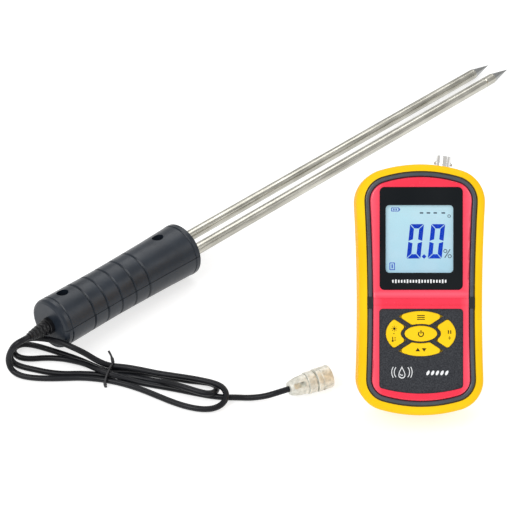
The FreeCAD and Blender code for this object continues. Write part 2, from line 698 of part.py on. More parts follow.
def handle_profile():
    """Outline of the handle from its front face back, grooves and lip included."""
    points = [(HANDLE_FRONT_RADIUS - 0.5, 0), (HANDLE_FRONT_RADIUS, -0.5)]
    points += [(HANDLE_FRONT_RADIUS, -3.4), (HANDLE_FRONT_RADIUS - 0.5, -3.9)]
    points += [(handle_radius(z), z) for z in (-4.6, -16.0, -28.0)]
    for groove in GROOVES:
        points.append((handle_radius(groove) + 0.1, groove + GROOVE_HALF))
        points.append((handle_radius(groove) - GROOVE_DEPTH, groove))
        points.append((handle_radius(groove) + 0.1, groove - GROOVE_HALF))
    rear = -HANDLE_LENGTH
    points += [(HANDLE_REAR_RADIUS, rear + 6.0), (HANDLE_REAR_RADIUS - 0.5, rear + 5.4)]
    points += [(HANDLE_REAR_RADIUS, rear + 4.8), (HANDLE_REAR_RADIUS, rear + 2.2)]
    points += [(HANDLE_REAR_RADIUS - 0.7, rear + 0.6), (HANDLE_REAR_RADIUS - 2.2, rear)]
    return points


def handle_shells():
    outside = handle_profile()
    outer = revolve([(0, 0)] + outside + [(0, -HANDLE_LENGTH)])
    core = [(0, -6.0), (15.0, -6.0), (BLOCK_RADIUS, -22.0), (BLOCK_RADIUS, -36.0)]
    core += [(handle_radius(z) - HANDLE_WALL - 0.4, z) for z in (-50.0, -70.0, -95.0)]
    core += [(HANDLE_REAR_RADIUS - HANDLE_WALL - 0.5, -HANDLE_LENGTH + 4.5)]
    core += [(0, -HANDLE_LENGTH + 4.5)]
    hollow = revolve(core)
    shell = outer.cut(hollow)
    posts = []
    for z in HANDLE_SCREW_AT:
        post = Part.makeCylinder(4.6, 32, Vector(-16, 0, z), Vector(1, 0, 0))
        posts.append(post.common(outer))
    shell = shell.fuse(posts)
    for z in HANDLE_SCREW_AT:
        shell = shell.cut(Part.makeCylinder(3.9, 11.5, Vector(-20, 0, z), Vector(1, 0, 0)))
        shell = shell.cut(Part.makeCylinder(1.5, 18, Vector(-9, 0, z), Vector(1, 0, 0)))
    for side in (-1, 1):
        shell = shell.cut(cylinder(ROD_RADIUS, -8, 2, 0, side * ROD_OFFSET))
    shell = shell.cut(cylinder(3.4, -HANDLE_LENGTH - 1, -HANDLE_LENGTH + 6))
    under = revolve([(0, 0)] + [(r - SEAM_DEPTH, z) for r, z in outside] + [(0, -HANDLE_LENGTH)])
    seam = box(-SEAM_HALF, SEAM_HALF, -30, 30, -HANDLE_LENGTH, 0).cut(under)
    shell = shell.cut(seam)
    upper = shell.common(box(-30, 0, -30, 30, -HANDLE_LENGTH - 5, 5))
    lower = shell.common(box(0, 30, -30, 30, -HANDLE_LENGTH - 5, 5))
    return upper.removeSplitter(), lower.removeSplitter()


def handle_screws():
    screws = []
    for z in HANDLE_SCREW_AT:
        head = Part.makeCylinder(3.5, 2.0, Vector(-10.5, 0, z), Vector(1, 0, 0))
        slot = box(-11, -9.6, -0.4, 0.4, z - 2.6, z + 2.6)
        cross = box(-11, -9.6, -2.6, 2.6, z - 0.4, z + 0.4)
        shank = Part.makeCylinder(1.5, 17, Vector(-8.6, 0, z), Vector(1, 0, 0))
        screws.append(head.cut(slot).cut(cross).fuse(shank).removeSplitter())
    return Part.makeCompound(screws)


def rod(side, joined):
    """One rod with its threaded tail; a joined rod ends at its separate point."""
    shaft_end = ROD_TIP - (ROD_JOINT if joined else ROD_CONE)
    points = [(0, ROD_TAIL), (ROD_THREAD, ROD_TAIL)]
    points += [(ROD_THREAD, ROD_SHOULDER), (ROD_RADIUS, ROD_SHOULDER)]
    points.append((ROD_RADIUS, shaft_end))
    points.append((0, shaft_end) if joined else (0, ROD_TIP))
    solid = revolve(points)
    if joined:
        solid = solid.cut(cylinder(2.0, shaft_end - 8, shaft_end + 1))
    solid.translate(Vector(0, side * ROD_OFFSET, 0))
    return solid


def rod_point():
    """Screw-in point of the near rod, with a ring groove at its joint."""
    start = ROD_TIP - ROD_JOINT
    points = [(0, start - 7), (2.0, start - 7), (2.0, start), (ROD_RADIUS - 0.5, start)]
    points += [(ROD_RADIUS - 0.5, start + 0.8), (ROD_RADIUS, start + 1.2)]
    points += [(ROD_RADIUS, ROD_TIP - ROD_CONE), (0, ROD_TIP)]
    solid = revolve(points)
    solid.translate(Vector(0, -ROD_OFFSET, 0))
    return solid


def rod_block():
    """Insulating block that grips both rods inside the handle."""
    block = cylinder(BLOCK_RADIUS, ROD_SHOULDER, -25.0)
    for side in (-1, 1):
        block = block.cut(cylinder(ROD_RADIUS, -35, -24, 0, side * ROD_OFFSET))
    return block


def rod_nuts():
    nuts = []
    for side in (-1, 1):
        y = side * ROD_OFFSET
        for z in (ROD_SHOULDER - 2.4, ROD_SHOULDER - 5.4):
            nuts.append(hexagon(4.4, z, 2.4, 0, y).cut(cylinder(ROD_THREAD, z - 1, z + 4, 0, y)))
    return Part.makeCompound(nuts)


def rod_tags():
    """Solder tags clamped between the nuts, their tongues turned inwards."""
    tags = []
    top = ROD_SHOULDER - 2.4
    for side in (-1, 1):
        y = side * ROD_OFFSET
        y0, y1 = sorted((side * 2.2, side * 6.0))
        tag = cylinder(4.0, top - 0.6, top, 0, y).fuse(box(-1.4, 1.4, y0, y1, top - 0.6, top))
        tags.append(tag.cut(cylinder(ROD_THREAD, -40, -30, 0, y)).removeSplitter())
    return Part.makeCompound(tags)


def signal_leads():
    """Two insulated wires from the rods' tags back to the strain relief."""
    leads = []
    rear = -HANDLE_LENGTH + 6.6
    for side in (-1, 1):
        path = [Vector(0, side * 3.2, ROD_SHOULDER - 3.0), Vector(0, side * 3.3, -60),
                Vector(0, side * 5.5, -84), Vector(0, side * 5.5, rear)]
        leads.append(round_tube(path, 0.7))
    return Part.makeCompound(leads)


def cable_relief():
    """Collar and tapered ribbed sleeve, held by its flange inside the handle."""
    rear = -HANDLE_LENGTH
    points = [(0, rear + 6.6), (5.6, rear + 6.6), (5.6, rear + 4.5), (3.4, rear + 4.5)]
    points += [(3.4, rear), (5.4, rear), (5.4, rear - 2.6)]
    ribs = 5
    first = rear - 3.2
    step = (RELIEF_LENGTH - 4.2) / ribs
    for index in range(ribs):
        z = first - index * step
        radius = 4.9 - 0.42 * index
        points += [(radius - 0.7, z), (radius, z - 0.5), (radius - 0.1, z - step * 0.62),
                   (radius - 0.8, z - step * 0.75)]
    points += [(2.6, rear - RELIEF_LENGTH), (0, rear - RELIEF_LENGTH)]
    return revolve(points)


# ---------------------------------------------------------------- lead and plug


def round_tube(points, radius, name=None):
    """Straight runs joined by tangent arcs, each as large as its two runs allow."""
    edges = []
    start = points[0]
    length = 0.0
    for before, corner, after in zip(points, points[1:], points[2:]):
        back = before - corner
        ahead = after - corner
        cosine = back.dot(ahead) / (back.Length * ahead.Length)
        half_turn = (math.pi - math.acos(max(-1.0, min(1.0, cosine)))) / 2
        cut = 0.45 * min(back.Length, ahead.Length)
        bend = cut / math.tan(half_turn)
        if name:
            print(name, "bend radius", round(bend, 1))
        enter = corner + back.normalize() * cut
        leave = corner + ahead.normalize() * cut
        inward = (enter + leave) * 0.5 - corner
        reach = math.hypot(bend, cut) - bend
        middle = corner + inward.normalize() * reach
        edges.append(Part.LineSegment(start, enter).toShape())
        edges.append(Part.Arc(enter, middle, leave).toShape())
        length += (enter - start).Length + 2 * half_turn * bend
        start = leave
    edges.append(Part.LineSegment(start, points[-1]).toShape())
    length += (points[-1] - start).Length
    path = Part.Wire(edges)
    first = edges[0].Curve.Direction
    circle = Part.Wire(Part.Circle(points[0], first, radius).toShape())
    tube = path.makePipeShell([circle], True, False)
    if name:
        expected = math.pi * radius * radius * length
        print(name, "length", round(length, 1), "volume ratio", round(tube.Volume / expected, 4))
    return tube


def cord_tube(route, name):
    return round_tube([Vector(*point) for point in route], CORD_DIAMETER / 2, name)


def slab(outline, height):
    corners = [Vector(x, y, 0) for x, y in outline]
    face = Part.Face(Part.makePolygon(corners + corners[:1]))
    return face.extrude(Vector(0, 0, height))


def hank():
    """Outer shape of the tied hank: flat loops at its left, a bundle at its right.

    One strand of the left loops springs up past the handle's rear end.
    """
    loops = [(-119.0, -159.4), (-133.0, -160.6), (-147.0, -162.5), (-163.0, -163.4)]
    loops += [(-176.0, -158.5), (-183.8, -148.0), (-184.4, -136.0), (-178.5, -124.0)]
    loops += [(-168.0, -117.5), (-156.0, -119.0), (-144.0, -130.0), (-133.0, -141.0)]
    loops += [(-119.0, -145.4)]
    bundle = [(-119.0, -159.4), (-104.0, -164.6), (-88.0, -174.5), (-72.0, -184.5)]
    bundle += [(-58.0, -184.5), (-46.5, -179.0), (-46.5, -168.5), (-52.0, -163.5)]
    bundle += [(-64.0, -157.5), (-84.0, -150.0), (-104.0, -145.8), (-119.0, -145.4)]
    raised = cord_tube(RAISED_STRAND, "raised strand")
    return slab(loops, HANK_LOW).fuse([slab(bundle, HANK_HIGH), raised]).removeSplitter()


def cable_tie():
    """Twist tie over the hank's waist."""
    band = box(-120.6, -118.0, -160.6, -143.8, 0, HANK_HIGH + 0.8)
    return band.cut(box(-122, -117, -159.9, -144.5, -1, HANK_HIGH))


def plug_nut():
    points = [(0, 0), (4.2, 0), (5.2, 2.5), (6.1, 6.5), (6.4, 11.0), (0, 11.0)]
    nut = revolve(points)
    for index in range(4):
        flat = box(6.0, 10, -1.6, 1.6, -1, 6.8)
        flat.rotate(Vector(0, 0, 0), Vector(0, 1, 0), -14)
        flat.translate(Vector(-0.9, 0, 0.6))
        flat.rotate(Vector(0, 0, 0), Vector(0, 0, 1), 45 + 90 * index)
        nut = nut.cut(flat)
    return nut.removeSplitter()


def plug_body():
    points = [(3.5, 11.0), (5.9, 11.0), (5.9, 11.5), (6.8, 11.5), (7.0, 11.8), (7.0, 16.5)]
    points += [(6.6, 16.9), (5.6, 16.9), (5.6, 19.0), (4.05, 19.0), (4.05, 26.0), (3.5, 26.0)]
    return revolve(points)


def plug_sleeve():
    points = [(5.65, 17.8), (7.1, 17.8), (7.4, 18.1), (7.4, 20.6), (7.0, 20.9), (7.3, 21.4)]
    points += [(7.4, 27.4), (7.0, 27.9), (4.95, 27.9), (4.95, 19.5), (5.65, 19.5)]
    sleeve = revolve(points)
    for way in (0, 180):
        slot = box(0, 5.75, -1.1, 1.1, 21.5, 28.5)
        slot.rotate(Vector(0, 0, 0), Vector(0, 0, 1), way + 120)
        sleeve = sleeve.cut(slot)
        hole = Part.makeCylinder(1.1, 9, Vector(0, 0, 22.0), Vector(1, 0, 0))
        hole.rotate(Vector(0, 0, 0), Vector(0, 0, 1), way + 120)
        sleeve = sleeve.cut(hole)
    return sleeve.removeSplitter()


def plug_insulator():
    return cylinder(3.5, 11.3, 21.0).cut(cylinder(0.9, 10, 22))


def plug_pin():
    return revolve([(0, 11.6), (0.9, 11.6), (0.9, 21.0), (0.65, 21.0), (0.65, 25.2), (0, 26.0)])


# ---------------------------------------------------------------- all the pieces


def build():
    glass, light, frame, strips = lcd_parts()
    upper, lower = handle_shells()
    meter = {
        "boot": boot(),
        "front_case": front_case(),
        "rear_case": rear_case(),
        "case_screws": case_screws(),
        "face_plate": face_plate(),
        "display_window": display_window(),
        "lcd_glass": glass,
        "lcd_backlight": light,
        "lcd_frame": frame,
        "lcd_contact_strips": strips,
        "keypad_panel": keypad_panel(),
        "key_mat": key_mat(),
        "main_board": main_board(),
        "board_screws": board_screws(),
        "board_chips": board_chips(),
        "buzzer": buzzer(),
        "battery_tray": battery_tray(),
        "battery_cells": battery_cells(),
        "battery_contacts": battery_contacts(),
        "battery_door": battery_door(),
        "door_screw": door_screw(),
        "tilt_stand": tilt_stand(),
        "stand_pin": stand_pin_at(STAND_PIN, -25.0, 25.0),
        "probe_socket": socket_frame(probe_socket()),
    }
    meter.update(key_caps())
    meter.update({name: socket_frame(shape) for name, shape in socket_pieces().items()})
    probe = {
        "handle_upper": upper,
        "handle_lower": lower,
        "handle_screws": handle_screws(),
        "rod_far": rod(1, False),
        "rod_near": rod(-1, True),
        "rod_near_point": rod_point(),
        "rod_block": rod_block(),
        "rod_nuts": rod_nuts(),
        "rod_tags": rod_tags(),
        "signal_leads": signal_leads(),
        "cable_relief": cable_relief(),
    }
    plug = {
        "plug_nut": plug_nut(),
        "plug_body": plug_body(),
        "plug_sleeve": plug_sleeve(),
        "plug_insulator": plug_insulator(),
        "plug_pin": plug_pin(),
    }
    pieces = {name: place_meter(shape) for name, shape in meter.items()}
    pieces.update({name: place_probe(shape) for name, shape in probe.items()})
    pieces.update({name: place_plug(shape) for name, shape in plug.items()})
    pieces["cable_lead"] = cord_tube(LEAD_ROUTE, "cable_lead")
    pieces["cable_hank"] = hank()
    pieces["cable_tail"] = cord_tube(TAIL_ROUTE, "cable_tail")
    pieces["cable_tie"] = cable_tie()
    return pieces


os.makedirs("parts", exist_ok=True)
for node, shape in build().items():
    shape.exportStep("parts/" + node + ".step")
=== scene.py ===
import json
import math

import bmesh
import bpy
from mathutils import Matrix, Vector


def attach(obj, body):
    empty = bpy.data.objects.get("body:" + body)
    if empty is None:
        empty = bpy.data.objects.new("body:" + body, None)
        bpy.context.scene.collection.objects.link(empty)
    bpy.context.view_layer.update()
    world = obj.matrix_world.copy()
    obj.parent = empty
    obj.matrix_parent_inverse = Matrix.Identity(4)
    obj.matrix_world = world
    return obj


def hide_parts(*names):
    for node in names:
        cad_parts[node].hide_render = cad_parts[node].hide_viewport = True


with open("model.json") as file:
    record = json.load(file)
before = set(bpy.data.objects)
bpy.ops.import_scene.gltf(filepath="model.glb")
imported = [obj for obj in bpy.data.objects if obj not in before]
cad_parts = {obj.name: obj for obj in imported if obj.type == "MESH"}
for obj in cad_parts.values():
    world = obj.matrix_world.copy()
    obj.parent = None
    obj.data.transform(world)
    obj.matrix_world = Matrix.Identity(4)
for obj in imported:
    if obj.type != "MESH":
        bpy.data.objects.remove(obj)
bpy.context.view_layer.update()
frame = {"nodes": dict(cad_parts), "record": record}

MM = 0.001

# ------------------------------------------------------------------ where the meter and the probe are

# Places in millimetres, the same as the CAD's.
METER_AT = (72.2, -181.0)
METER_LEAN = math.radians(37.8)
BACK_ROUND = 6.0
PROBE_AT = (-76.1, -43.8, 18.3)
PROBE_HEADING = math.radians(46.3)
PROBE_DROOP = math.radians(2.16)
ROD_CONE_FROM = 325.9


def moved(x, y, z):
    return Matrix.Translation((x * MM, y * MM, z * MM))


def meter_frame():
    """x across the meter, y up its face, z out of its face."""
    drop = BACK_ROUND * (math.cos(METER_LEAN) + math.sin(METER_LEAN) - 1)
    return moved(METER_AT[0], METER_AT[1], -drop) @ Matrix.Rotation(math.radians(90) - METER_LEAN, 4, "X")


METER = meter_frame()
RODS = Vector((math.cos(PROBE_HEADING) * math.cos(PROBE_DROOP),
               math.sin(PROBE_HEADING) * math.cos(PROBE_DROOP), -math.sin(PROBE_DROOP)))

# ------------------------------------------------------------------ camera, light, floor

CAMERA_ELEVATION = 37.8
CAMERA_PLACE = (-0.02655, -1.0151, 0.7657)
CAMERA_LENS = 128.74
CAMERA_SENSOR = 36.0
FLOOR_REACH = 4.0
FLOOR_DROP = 0.2
WORLD_STRENGTH = 0.62
LIGHTS = [
    # name, place, aim, size, watts
    ("key", (-0.8, -0.85, 1.25), (0, 0, 0), (0.9, 0.9), 10.5),
    ("fill", (1.3, -0.5, 1.1), (0, 0, 0.05), (0.9, 0.9), 5),
    ("back", (0.1, 1.1, 1.3), (0, 0, 0), (1.6, 0.7), 8),
]


def make_camera():
    data = bpy.data.cameras.new("camera")
    data.lens = CAMERA_LENS
    data.sensor_width = CAMERA_SENSOR
    camera = bpy.data.objects.new("camera", data)
    camera.location = CAMERA_PLACE
    camera.rotation_euler = (math.radians(90 - CAMERA_ELEVATION), 0, 0)
    bpy.context.scene.collection.objects.link(camera)
    bpy.context.scene.camera = camera


def area_light(name, place, aim, size, power):
    data = bpy.data.lights.new(name, "AREA")
    data.shape = "RECTANGLE"
    data.size, data.size_y = size
    data.energy = power
    lamp = bpy.data.objects.new(name, data)
    lamp.location = place
    direction = Vector(aim) - Vector(place)
    lamp.rotation_euler = direction.to_track_quat("-Z", "Y").to_euler()
    bpy.context.scene.collection.objects.link(lamp)


def make_stage(looks):
    corners = [(a * FLOOR_REACH, b * FLOOR_REACH, 0) for a, b in ((-1, -1), (1, -1), (1, 1), (-1, 1))]
    mesh = bpy.data.meshes.new("floor")
    mesh.from_pydata(corners, [], [(0, 1, 2, 3)])
    mesh.materials.append(looks["floor"])
    floor = bpy.data.objects.new("floor", mesh)
    floor.location.z = -FLOOR_DROP * MM
    bpy.context.scene.collection.objects.link(floor)
    world = bpy.data.worlds.new("world")
    world.use_nodes = True
    background = world.node_tree.nodes["Background"]
    background.inputs["Strength"].default_value = WORLD_STRENGTH
    background.inputs["Color"].default_value = (1, 1, 1, 1)
    bpy.context.scene.world = world
    bpy.context.scene.view_settings.view_transform = "Standard"
    for light in LIGHTS:
        area_light(*light)


# ------------------------------------------------------------------ materials

# The meter's own axes.
ACROSS, UP, OUT = (1, 0, 0), (0, 1, 0), (0, 0, 1)
# Noise scales.
GLOSS_DRIFT = 150.0
SCRATCHES = 1500.0
DRAW_LINE_STRETCH = 30.0
# Where a colour changes on the meter, in millimetres: out from its back, then up its face. The boot's orange
# sides are painted shade; the pale band at the face's step is a painted highlight.
BOOT_SIDE_SHADE_FROM, BOOT_SIDE_SHADE_TO = 28.5, 34.8
CLIP_LOW, CLIP_HIGH, CLIP_FADE = 64.5, 71.0, 0.6
STEP_HIGHLIGHT_AT, STEP_HIGHLIGHT_FADE = 73.0, 3.0
GLOW_LOW, GLOW_HIGH = 86.0, 127.0


class Look:
    """Wires one procedural material."""

    def __init__(self, name):
        self.material = bpy.data.materials.new(name)
        self.material.use_nodes = True
        self.tree = self.material.node_tree
        self.shader = self.tree.nodes["Principled BSDF"]
        self.coords = self.tree.nodes.new("ShaderNodeTexCoord").outputs["Object"]

    def node(self, kind, **values):
        node = self.tree.nodes.new(kind)
        for key, value in values.items():
            name = key.replace("_", " ")
            if name in node.inputs:
                node.inputs[name].default_value = value
            else:
                setattr(node, key, value)
        return node

    def link(self, source, target):
        self.tree.links.new(source, target)

    def noise(self, scale, detail=3.0, vector=None):
        node = self.node("ShaderNodeTexNoise", Scale=scale, Detail=detail)
        self.link(vector or self.coords, node.inputs["Vector"])
        return node.outputs["Fac"]

    def ramp(self, source, low, high, start=0.3, end=0.7):
        node = self.node("ShaderNodeValToRGB")
        first, last = node.color_ramp.elements
        first.position, first.color = start, (*low, 1)
        last.position, last.color = end, (*high, 1)
        self.link(source, node.inputs["Fac"])
        return node.outputs["Color"]

    def spread(self, source, low, high, start=0.0, end=1.0):
        node = self.node("ShaderNodeMapRange", From_Min=start, From_Max=end, To_Min=low, To_Max=high)
        self.link(source, node.inputs["Value"])
        return node.outputs["Result"]

    def combine(self, first, second, operation="ADD"):
        """A sum, a product or a maximum of two numbers or sockets."""
        node = self.node("ShaderNodeMath", operation=operation)
        for socket, value in zip(node.inputs, (first, second)):
            if isinstance(value, (int, float)):
                socket.default_value = value
            else:
                self.link(value, socket)
        return node.outputs["Value"]

    def mix(self, factor, first, second):
        node = self.node("ShaderNodeMix", data_type="RGBA")
        self.link(factor, node.inputs["Factor"])
        for socket, value in ((node.inputs[6], first), (node.inputs[7], second)):
            if isinstance(value, tuple):
                socket.default_value = (*value, 1)
            else:
                self.link(value, socket)
        return node.outputs[2]

    def along(self, axis, origin=(0, 0, 0)):
        """Distance along an axis, in metres."""
        shift = self.node("ShaderNodeVectorMath", operation="SUBTRACT")
        shift.inputs[1].default_value = origin
        self.link(self.coords, shift.inputs[0])
        dot = self.node("ShaderNodeVectorMath", operation="DOT_PRODUCT")
        dot.inputs[1].default_value = axis
        self.link(shift.outputs["Vector"], dot.inputs[0])
        return dot.outputs["Value"]

    def bump(self, height, strength, distance):
        node = self.node("ShaderNodeBump", Strength=strength, Distance=distance)
        self.link(height, node.inputs["Height"])
        self.link(node.outputs["Normal"], self.shader.inputs["Normal"])

    def meter_axis(self, axis):
        """Distance along one of the meter's own axes, from the meter's origin."""
        return self.along(tuple(METER.to_3x3() @ Vector(axis)), tuple(METER.translation))

    def colour(self, source):
        self.link(source, self.shader.inputs["Base Color"])

    def gloss(self, source, rough, start=0.3, end=0.7):
        """Uneven roughness, between the two values of rough."""
        self.link(self.spread(source, rough[0], rough[1], start, end), self.shader.inputs["Roughness"])

    def finish(self, **values):
        for key, value in values.items():
            self.shader.inputs[key.replace("_", " ")].default_value = value
        return self.material


def moulded(name, low, high, rough, grain=1100.0, depth=0.03, strength=0.3, drift=40.0, **extra):
    """Moulded plastic or rubber: drifting colour, uneven gloss and a fine grain."""
    look = Look(name)
    look.colour(look.ramp(look.noise(drift, 4.0), low, high))
    look.gloss(look.noise(GLOSS_DRIFT), rough)
    look.bump(look.noise(grain, 2.0), strength, depth * MM)
    return look.finish(**extra)


def printed(name, low, high, rough, **extra):
    """A thin print, with hardly any grain of its own."""
    return moulded(name, low, high, rough, grain=2000.0, depth=0.005, **extra)


def metal(name, low, high, rough, depth=0.01, drift=60.0, metallic=1.0):
    """Machined or plated metal with faint stains and fine scratches."""
    look = Look(name)
    look.colour(look.ramp(look.noise(drift, 6.0), low, high))
    look.gloss(look.noise(260.0, 5.0), rough)
    look.bump(look.noise(SCRATCHES, 3.0), 0.4, depth * MM)
    return look.finish(Metallic=metallic)


def boot_rubber():
    """Yellow rubber with painted shade: a deeper orange down its sides, back from the face."""
    look = Look("rubber_yellow")
    base = look.ramp(look.noise(25.0, 4.0), (0.93, 0.56, 0.004), (1.0, 0.63, 0.01))
    # Painted shade: the boot turns a deeper orange from its front lip back down its sides.
    side = look.spread(look.meter_axis(OUT), 1.0, 0.0, BOOT_SIDE_SHADE_FROM * MM, BOOT_SIDE_SHADE_TO * MM)
    look.colour(look.mix(side, base, (0.95, 0.48, 0.002)))
    look.gloss(look.noise(180.0), (0.5, 0.65))
    look.bump(look.noise(1300.0, 2.0), 0.3, 0.04 * MM)
    return look.finish(Specular_IOR_Level=0.1)


def case_plastic():
    """Dark satin plastic of the case; its side clips are darker than the rim."""
    look = Look("case_dark")
    up = look.meter_axis(UP)
    rim = look.ramp(look.noise(40.0, 4.0), (0.052, 0.064, 0.08), (0.078, 0.092, 0.11))
    clip_low = look.spread(up, 0.0, 1.0, (CLIP_LOW - CLIP_FADE) * MM, CLIP_LOW * MM)
    clip_high = look.spread(up, 1.0, 0.0, CLIP_HIGH * MM, (CLIP_HIGH + CLIP_FADE) * MM)
    raised = look.spread(look.meter_axis(OUT), 0.0, 1.0, 33.0 * MM, 33.3 * MM)
    clip = look.combine(look.combine(clip_low, clip_high, "MULTIPLY"), raised, "MULTIPLY")
    look.colour(look.mix(clip, rim, (0.012, 0.014, 0.017)))
    look.gloss(look.noise(GLOSS_DRIFT), (0.2, 0.3))
    look.bump(look.noise(1700.0, 2.0), 0.2, 0.02 * MM)
    return look.finish()


def face_red():
    """Glossy red front, with painted highlights: paler toward its long sides and in a band across the step
    at its middle.
    """
    look = Look("face_red")
    base = look.ramp(look.noise(40.0, 4.0), (0.88, 0.021, 0.058), (0.94, 0.034, 0.082))
    up = look.meter_axis(UP)
    from_middle = look.combine(look.meter_axis(ACROSS), 0.0, "ABSOLUTE")
    # Painted highlight: the red is paler toward the long sides and in a band across the step.
    sides = look.spread(from_middle, 0.0, 0.6, 23.0 * MM, 28.5 * MM)
    highlight_rising = look.spread(up, 0.0, 0.8, (STEP_HIGHLIGHT_AT - STEP_HIGHLIGHT_FADE) * MM, STEP_HIGHLIGHT_AT * MM)
    highlight_falling = look.spread(up, 1.0, 0.0, STEP_HIGHLIGHT_AT * MM, (STEP_HIGHLIGHT_AT + STEP_HIGHLIGHT_FADE) * MM)
    pale = look.combine(sides, look.combine(highlight_rising, highlight_falling, "MULTIPLY"), "MAXIMUM")
    look.colour(look.mix(pale, base, (0.96, 0.13, 0.20)))
    look.gloss(look.noise(GLOSS_DRIFT), (0.2, 0.3))
    look.bump(look.noise(2400.0, 2.0), 0.15, 0.01 * MM)
    return look.finish(Coat_Weight=0.3, Coat_Roughness=0.1, Specular_IOR_Level=0.35)


def panel_film():
    """Dark film of the keypad with a fine sparkling grain."""
    look = Look("panel_film")
    grain = look.noise(1500.0, 2.0)
    look.colour(look.ramp(grain, (0.012, 0.014, 0.019), (0.045, 0.048, 0.056), 0.35, 0.65))
    look.gloss(look.noise(400.0), (0.45, 0.62))
    look.bump(grain, 0.45, 0.05 * MM)
    return look.finish(Specular_IOR_Level=0.3)


def rod_metal():
    """Drawn steel with long draw lines; the ground points are greyer."""
    look = Look("rod_steel")
    stretch = look.node("ShaderNodeMapping", vector_type="TEXTURE")
    stretch.inputs["Rotation"].default_value = (0, PROBE_DROOP, PROBE_HEADING)
    stretch.inputs["Scale"].default_value = (DRAW_LINE_STRETCH, 1.0, 1.0)
    look.link(look.coords, stretch.inputs["Vector"])
    lines = look.noise(900.0, 4.0, stretch.outputs["Vector"])
    stains = look.noise(45.0, 6.0)
    shade = look.combine(look.combine(lines, 0.55, "MULTIPLY"), look.combine(stains, 0.45, "MULTIPLY"))
    body = look.ramp(shade, (0.30, 0.29, 0.25), (0.60, 0.585, 0.52), 0.36, 0.62)
    distance = look.along(tuple(RODS), tuple(value * MM for value in PROBE_AT))
    tip = look.spread(distance, 0.0, 1.0, ROD_CONE_FROM * MM, (ROD_CONE_FROM + 0.6) * MM)
    look.colour(look.mix(tip, body, (0.33, 0.335, 0.33)))
    look.gloss(lines, (0.2, 0.32), 0.35, 0.65)
    look.bump(lines, 0.2, 0.012 * MM)
    return look.finish(Metallic=1.0)


def display_face():
    """Backlit display: pale blue, a little brighter toward its top."""
    look = Look("display_face")
    glow = look.spread(look.meter_axis(UP), 0.0, 1.0, GLOW_LOW * MM, GLOW_HIGH * MM)
    colour = look.mix(glow, (0.30, 0.50, 0.60), (0.37, 0.57, 0.63))
    patches = look.spread(look.noise(70.0, 2.0), 0.0, 0.35, 0.3, 0.7)
    cloud = look.mix(patches, colour, (0.46, 0.56, 0.64))
    look.colour(cloud)
    look.link(cloud, look.shader.inputs["Emission Color"])
    look.gloss(look.noise(300.0), (0.25, 0.35), 0.0, 1.0)
    return look.finish(Emission_Strength=0.52)


def clear_lens():
    """Thin clear window: see-through, with a faint reflection and hair scratches."""
    look = Look("clear_lens")
    clear = look.node("ShaderNodeBsdfTransparent")
    gloss = look.node("ShaderNodeBsdfGlossy")
    fresnel = look.node("ShaderNodeFresnel", IOR=1.22)
    mix = look.node("ShaderNodeMixShader")
    look.link(look.spread(look.noise(500.0, 4.0), 0.01, 0.05, 0.3, 0.7), gloss.inputs["Roughness"])
    look.link(fresnel.outputs["Fac"], mix.inputs["Fac"])
    look.link(clear.outputs["BSDF"], mix.inputs[1])
    look.link(gloss.outputs["BSDF"], mix.inputs[2])
    look.link(mix.outputs["Shader"], look.tree.nodes["Material Output"].inputs["Surface"])
    return look.material


